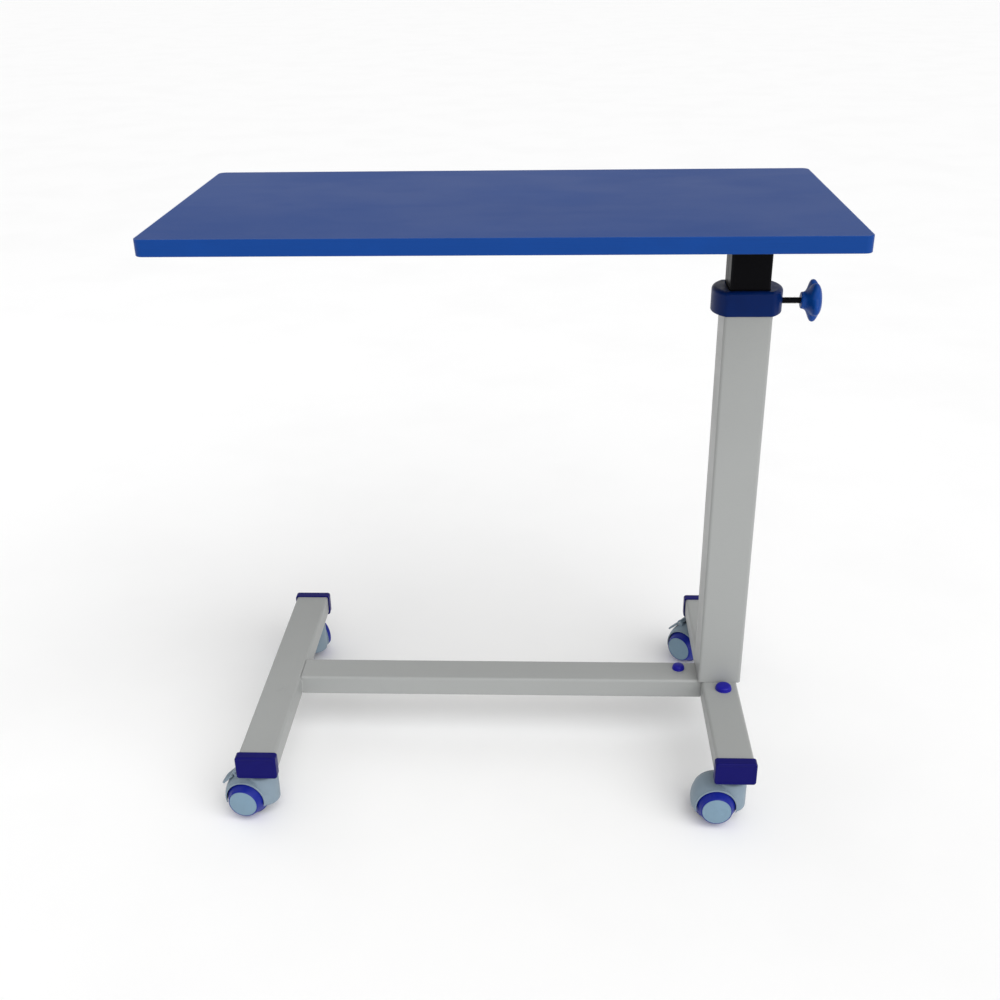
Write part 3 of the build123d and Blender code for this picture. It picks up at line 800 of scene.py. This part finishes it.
def makeEndCaps():
    cap = {"wall": 3 * mm, "corner": 4 * mm, "round": 1.8 * mm, "border": 1.9 * mm, "step": 0.5 * mm,
           "pillow": 0.35 * mm, "panel": (0.98, 1, 0.97), "crown": (0.8, 1, 0.7)}
    for name in ("front_left", "front_right", "back_left", "back_right"):
        node = name + "_end_cap"
        low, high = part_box(node)
        legLow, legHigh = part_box(name.split("_")[1] + "_leg")
        out = -1 if "front" in name else 1
        face = high.y if out > 0 else low.y
        piece = addBox(titleOf(name) + "Cap", low, high)
        bevelAlong(piece, 1, cap["corner"], 6)
        # The open side takes the tube's end
        pickFaces(piece, lambda centre, normal: normal.y * out < -0.9)
        bpy.ops.mesh.inset(thickness=(high.z - low.z - legHigh.z + legLow.z) / 2, depth=0)
        reach = (high.y - low.y) - cap["wall"]
        bpy.ops.mesh.extrude_region_move(TRANSFORM_OT_translate={"value": (0, out * reach, 0)})
        leaveEdit()
        pickEdges(piece, lambda a, b: abs(a.y - face) < 1e-6 and abs(b.y - face) < 1e-6)
        bpy.ops.mesh.bevel(offset=cap["round"], segments=5, affect="EDGES")
        leaveEdit()
        # A shallow panel with a slightly pillowed middle
        pickFaces(piece, lambda centre, normal: normal.y * out > 0.999 and abs(centre.y - face) < 1e-6)
        bpy.ops.mesh.inset(thickness=cap["border"], depth=0)
        bpy.ops.mesh.extrude_region_move(TRANSFORM_OT_translate={"value": (0, -out * cap["step"], 0)})
        centre = ((low.x + high.x) / 2, face, (low.z + high.z) / 2)
        bpy.ops.transform.resize(value=cap["panel"], center_override=centre)
        bpy.ops.mesh.extrude_region_move(TRANSFORM_OT_translate={"value": (0, out * cap["pillow"], 0)})
        bpy.ops.transform.resize(value=cap["crown"], center_override=centre)
        leaveEdit()
        finishPiece(piece, "base", finishes["navy_plastic"], [node], 60)


def titleOf(name):
    words = name.split("_")
    return words[0] + "".join(word.title() for word in words[1:])


def makeBoltCaps():
    cap = {"height": 7, "inside": 7.4, "roof": 4.9, "rim": 1.3, "crown": 0.5, "round": 3.2}
    sets = (("legBoltDomes", "leg_bolt_caps", 2), ("crossbarBoltDome", "crossbar_bolt_cap", 1))
    for name, node, count in sets:
        low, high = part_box(node)
        radius = (high.x - low.x) / 2 / mm
        top = cap["height"]
        outline = [
            (0, cap["roof"]), (cap["inside"], cap["roof"]), (cap["inside"], 0), (radius, 0),
            (radius, cap["rim"]), (radius - 0.45, cap["rim"] + 0.45),
        ]
        centre = (radius - 0.55 - cap["round"], top - cap["crown"] - cap["round"])
        outline += arc(centre, cap["round"], 4, 82, 8)
        outline += [(radius * 0.4, top - 0.12), (radius * 0.15, top), (0, top)]
        piece = turnProfile(name, outline, 64)
        copies = []
        for i in range(count):
            y = (low.y + high.y) / 2 if count == 1 else (low.y + radius * mm, high.y - radius * mm)[i]
            copies.append(copyTo(piece, name, Matrix.Translation(((low.x + high.x) / 2, y, low.z))))
        bpy.data.objects.remove(piece)
        caps = joinPieces(name, copies)
        finishPiece(caps, "base", finishes["dome_plastic"], [node])


# Castors, modelled round their own stem with the trail along +X
castor = {
    "trail": 20, "axle": 29, "web": 6.5, "hoodHalf": 22.5, "hoodCrown": 33, "hoodDrop": 6.0, "hoodLow": 22,
    "space": 30, "spaceStraight": 14.5, "spaceRim": 26.3, "housing": 20.5, "housingLow": 18,
    "housingTop": 63.5, "offStep": 1.13, "pivotAngle": 68, "pivotRadius": 37.6, "socket": 4.05,
    "socketLow": 44.7, "earNear": 7, "earFar": 11, "earHalf": 4, "earRoot": 0.8, "edge": 0.55,
}


def castorPlaces():
    # Where each castor stands and which way it trails, from its swivel and rolling axes
    places = {}
    for joint in frame["joints"]:
        if joint["name"].endswith("_roll_a"):
            places.setdefault(joint["name"][:-7], {})["axis"] = joint["axis"]
        if joint["name"].endswith("_swivel"):
            places.setdefault(joint["name"][:-7], {})["stem"] = joint["pos_m"]
    result = {}
    for name, facts in places.items():
        turn = atan2(-facts["axis"][0], facts["axis"][1])
        x, y = facts["stem"][:2]
        result[name] = Matrix.Translation((x, y, 0)) @ Matrix.Rotation(turn, 4, "Z")
    return result


axleCentre = Matrix.Translation((castor["trail"] * mm, 0, castor["axle"] * mm))
axleLine = axleCentre @ Matrix.Rotation(-pi / 2, 4, "X")


def castorRod(name, radius, x, z, startY, endY, steps=96):
    return addRod(name, radius * mm, (x * mm, startY * mm, z * mm), (x * mm, endY * mm, z * mm), steps)


def castorBox(name, low, high):
    return addBox(name, [value * mm for value in low], [value * mm for value in high])


def pivotPoint():
    angle = radians(castor["pivotAngle"])
    x = castor["trail"] + castor["pivotRadius"] * cos(angle)
    return x, castor["axle"] + castor["pivotRadius"] * sin(angle)


def makeHood(withBrake):
    # Mudguard and swivel housing joined, then cleared for the two wheels
    h = castor
    half = h["hoodHalf"]
    side = [0, 3, 6, 9, 11.5, 14, 16, 18, 19.5, 20.8]
    rim = [(28.55, 21.1), (28.45, 21.7), (28.1, 22.2), (27.7, half)]
    outer = [(h["hoodCrown"] - h["hoodDrop"] * (along / half) ** 2.6, along) for along in side] + rim
    outline = [(0, -half)] + [(r, -y) for r, y in reversed(outer)] + outer[1:] + [(0, half)]
    hood = placeBy(turnProfile("hood", outline, 144), axleLine)
    # Cutters are turned a little, so that none of their edges lies on one of the hood
    offStep = Matrix.Rotation(radians(h["offStep"]), 4, "Z")
    trim(hood, (0, 0, h["hoodLow"] * mm), (0, 0, -1))
    top, low, wide = h["housingTop"], h["housingLow"], h["housing"]
    lowRound = arc((wide - 5, low + 5), 5, -88, 0, 6)
    topRound = arc((wide - 3.5, top - 3.5), 3.5, 6, 88, 6)
    housing = turnProfile("housing", [(0, low), *lowRound, *topRound, (0, top)], 96)
    combine(hood, housing, "UNION")
    if withBrake:
        for side in (-1, 1):
            # Each ear is a bar with a round end, standing on the mudguard
            arm = castorBox(
                "ear", (h["space"] + h["earRoot"], h["earNear"], -h["earHalf"]),
                (h["pivotRadius"] + h["earHalf"], h["earFar"], h["earHalf"]))
            pickEdges(arm, lambda a, b: abs((a - b).normalized().y) > 0.99 and a.x > h["pivotRadius"] * mm)
            bpy.ops.mesh.bevel(offset=3.95 * mm, segments=9, affect="EDGES")
            leaveEdit()
            if side < 0:
                placeBy(arm, Matrix.Rotation(pi, 4, "X"))
            placeBy(arm, axleCentre @ Matrix.Rotation(-radians(h["pivotAngle"]), 4, "Y"))
            combine(hood, arm, "UNION")
    ends = [(0, 0, z * mm) for z in (h["socketLow"], top + 1)]
    socket = addRod("socket", h["socket"] * mm, *ends, 32)
    combine(hood, placeBy(socket, offStep), "DIFFERENCE")
    # The room narrows outwards with the wheel, and runs on past the rim
    mouth = h["spaceRim"] - 1.4
    room = turnProfile("room", [
        (0, h["web"]), (h["space"], h["web"]), (h["space"], h["spaceStraight"]),
        (mouth, half + 3), (mouth, half + 20), (0, half + 20)], 144)
    otherRoom = copyTo(room, "otherRoom", axleLine @ Matrix.Rotation(pi, 4, "X") @ offStep)
    placeBy(room, axleLine @ offStep)
    combine(hood, room, "DIFFERENCE")
    combine(hood, otherRoom, "DIFFERENCE")
    closeUp(hood)
    softenEdges(hood, h["edge"] * mm, 3, 32)
    return hood


def makeWheel():
    # One half of the twin wheel, on the +Y side
    outline = [
        (3.05, 7.2), (9, 7.2), (9, 16.2), (24, 16.2), (24, 7.2), (27.5, 7.2), (28.5, 7.5), (28.9, 8.2),
        (29, 9.0), (29, 10.2), (28.75, 10.5), (28.75, 11.1), (29, 11.4), (29, 12.9), (28.8, 13.7),
        (28.2, 14.3), (27.5, 14.9), (26.1, 18.1), (24.6, 21.4), (23.2, 24.6), (21.8, 27.8), (20.9, 30.0),
        (20.5, 30.8), (20.0, 31.3), (19.6, 31.5),
        (19.4, 31.4), (19.3, 31.1), (19.3, 30), (3.05, 30), (3.05, 7.2),
    ]
    wheel = turnProfile("wheel", outline, 128)
    tread = wheel.data.attributes.new("tread", "FLOAT", "POINT")
    for i, vertex in enumerate(wheel.data.vertices):
        radius = hypot(vertex.co.x, vertex.co.y)
        tread.data[i].value = max(0, min(1, (radius - 27.6 * mm) / (1.2 * mm)))
    return placeBy(wheel, axleLine)


def makeHubCap():
    outline = [
        (0, 30), (19.0, 30), (19.2, 30.3), (19.2, 31.2), (18.9, 31.6), (18.3, 31.8), (17.2, 31.85),
        (16.7, 31.7),
        (16.3, 31.7), (15.8, 31.9), (12, 32.3), (8, 32.65), (4, 32.9), (0, 33),
    ]
    return placeBy(turnProfile("hubCap", outline, 128), axleLine)


def makePedal():
    pedal = {
        "half": 6.6, "paddle": 11, "start": 8, "length": 30, "thick": 2.6, "slope": 43.5, "corner": 4 * mm,
        "edge": 0.5 * mm, "barrel": 3.6, "barrelHalf": 6.45, "barrelEdge": 0.4 * mm, "bore": 1.6,
        "ribs": 5, "ribStart": 14, "ribPitch": 3, "ribRadius": 0.8, "ribHalf": 8, "ribSink": 0.25,
        "ribEdge": 0.3 * mm,
    }
    t = pedal["thick"] / 2
    wide, length = pedal["paddle"], pedal["length"]
    plate = castorBox("pedal", (0, -wide, -t), (length, wide, t))
    pickEdges(plate, lambda a, b: abs((a - b).normalized().z) > 0.99 and a.x > mm)
    bpy.ops.mesh.bevel(offset=pedal["corner"], segments=6, affect="EDGES")
    leaveEdit()
    for side in (-1, 1):
        inner, outer = sorted((side * pedal["half"], side * (wide + 1)))
        notch = castorBox("notch", (-1, inner, -t - 1), (pedal["start"], outer, t + 1))
        combine(plate, notch, "DIFFERENCE")
    softenEdges(plate, pedal["edge"], 3, 50)
    for i in range(pedal["ribs"]):
        x = pedal["ribStart"] + pedal["ribPitch"] * i
        reach = pedal["ribHalf"]
        rib = castorRod("rib", pedal["ribRadius"], x, t - pedal["ribSink"], -reach, reach, 18)
        softenEdges(rib, pedal["ribEdge"], 2, 50)
        combine(plate, rib, "UNION")
    x, z = pivotPoint()
    tilt = Matrix.Rotation(radians(pedal["slope"]), 4, "Y")
    placeBy(plate, Matrix.Translation((x * mm, 0, z * mm)) @ tilt)
    barrel = castorRod("barrel", pedal["barrel"], x, z, -pedal["barrelHalf"], pedal["barrelHalf"], 40)
    softenEdges(barrel, pedal["barrelEdge"], 2, 50)
    combine(plate, barrel, "UNION")
    bore = castorRod("bore", pedal["bore"], x, z, -20, 20, 22)
    combine(plate, bore, "DIFFERENCE")
    return plate


def makeStem():
    outline = [
        (0, 45), (3.6, 45), (4, 45.4), (4, 63.8), (11.4, 63.8), (12, 64.4), (12, 68.4), (11.5, 68.9),
        (10.2, 68.9), (10.2, 70.2), (11.5, 70.2), (12, 70.7), (12, 74.5), (11.5, 75), (5, 75), (5, 97.2),
        (4.4, 98), (0, 98),
    ]
    return turnProfile("stem", outline, 64)


def makeCastors():
    places = castorPlaces()
    braked = {name for name in places if name + "_pedal" in nodes}
    plainHood, brakedHood = makeHood(False), makeHood(True)
    wheel, hubCap, pedal, stem = makeWheel(), makeHubCap(), makePedal(), makeStem()
    otherSide = Matrix.Translation((2 * castor["trail"] * mm, 0, 0)) @ Matrix.Rotation(pi, 4, "Z")
    stems = []
    for name, place in places.items():
        title = titleOf(name)
        hood = copyTo(brakedHood if name in braked else plainHood, title + "Hood", place)
        finishPiece(hood, name + "_castor", finishes["hood_plastic"], [name + "_hood"])
        for half, side in (("a", place), ("b", place @ otherSide)):
            body = name + "_wheel_" + half
            rim = copyTo(wheel, title + "Wheel" + half.upper(), side)
            finishPiece(rim, body, finishes["wheel_plastic"], [body])
            disc = copyTo(hubCap, title + "HubCap" + half.upper(), side)
            finishPiece(disc, body, finishes["hub_plastic"], [name + "_hub_cap_" + half])
        if name in braked:
            lever = copyTo(pedal, title + "Pedal", place)
            finishPiece(lever, name + "_pedal", finishes["hood_plastic"], [name + "_pedal"])
        stems.append(copyTo(stem, "castorStem", place))
    stems = joinPieces("castorStemSet", stems)
    finishPiece(stems, "base", finishes["zinc"], ["castor_stems"])
    for master in (plainHood, brakedHood, wheel, hubCap, pedal, stem):
        bpy.data.objects.remove(master)


# What stays as it was drawn gets its finish
def finishHiddenNodes():
    for entry in frame["record"]["subparts"]:
        node = nodes[entry["node"]]
        node.data.materials.clear()
        node.data.materials.append(finishes[entry["material_slot"]])


finishHiddenNodes()
makeTabletop()
makeTopSupport()
makeStrips()
print("tabletop done")
makeColumn()
makeCollar()
makeClampScrew()
makeKnob()
print("column and clamp done")
makeFloorFrame()
makeEndCaps()
makeBoltCaps()
print("floor frame done")
makeCastors()
print("castors done")


# Floor, light and camera
def makeFloor():
    clearSelection()
    bpy.ops.mesh.primitive_circle_add(vertices=96, radius=45, fill_type="NGON", location=(0, 0, 0))
    floor = bpy.context.object
    floor.name = "studioFloor"
    surface = Finish("paleFloor", (0.94, 0.94, 0.94, 1), 0.75)
    surface.paint(surface.remap(surface.noise(3, 3), 0.4, 0.7), (0.925, 0.925, 0.925, 1))
    floor.data.materials.append(surface.material)


def makeLight(name, size, power, place, target):
    data = bpy.data.lights.new(name, "AREA")
    data.shape = "RECTANGLE"
    data.size, data.size_y = size
    data.energy = power
    lamp = bpy.data.objects.new(name, data)
    lamp.location = place
    lamp.rotation_euler = (Vector(place) - Vector(target)).to_track_quat("Z", "Y").to_euler()
    bpy.context.scene.collection.objects.link(lamp)


def makeSun(name, power, spread, towards):
    data = bpy.data.lights.new(name, "SUN")
    data.energy = power
    data.angle = radians(spread)
    sun = bpy.data.objects.new(name, data)
    sun.rotation_euler = Vector(towards).to_track_quat("Z", "Y").to_euler()
    bpy.context.scene.collection.objects.link(sun)


def makeStudio():
    makeFloor()
    makeSun("softKey", 2.2, 70, (0.45, -0.62, 0.65))
    makeLight("leftPanel", (1.2, 1.4), 3, (-2.0, 1.2, 1.9), (-0.3, 0, 0.6))
    world = bpy.data.worlds.new("studioAir")
    world.use_nodes = True
    sky = world.node_tree.nodes["Background"]
    sky.inputs["Color"].default_value = (1, 1, 1, 1)
    # Dimmer as a light than as a backdrop
    seen = world.node_tree.nodes.new("ShaderNodeLightPath")
    level = world.node_tree.nodes.new("ShaderNodeMapRange")
    level.inputs["To Min"].default_value, level.inputs["To Max"].default_value = 0.62, 0.98
    world.node_tree.links.new(seen.outputs["Is Camera Ray"], level.inputs["Value"])
    world.node_tree.links.new(level.outputs["Result"], sky.inputs["Strength"])
    bpy.context.scene.world = world
    bpy.context.scene.view_settings.view_transform = "Standard"


def makeCamera():
    view = {"place": (0.0580, -1.5314, 1.0822), "down": 27.58, "yaw": 2.71, "roll": -0.94, "lens": 44.14,
            "sensor": 36, "shiftY": 0.06}
    data = bpy.data.cameras.new("camera")
    data.lens = view["lens"]
    data.sensor_width = view["sensor"]
    data.shift_y = view["shiftY"]
    camera = bpy.data.objects.new("camera", data)
    facing = Euler((radians(90 - view["down"]), 0, radians(view["yaw"]))).to_matrix().to_4x4()
    rolled = Matrix.Rotation(radians(view["roll"]), 4, "Z")
    camera.matrix_world = Matrix.Translation(view["place"]) @ facing @ rolled
    bpy.context.scene.collection.objects.link(camera)
    bpy.context.scene.camera = camera


makeStudio()
makeCamera()
print("studio done")
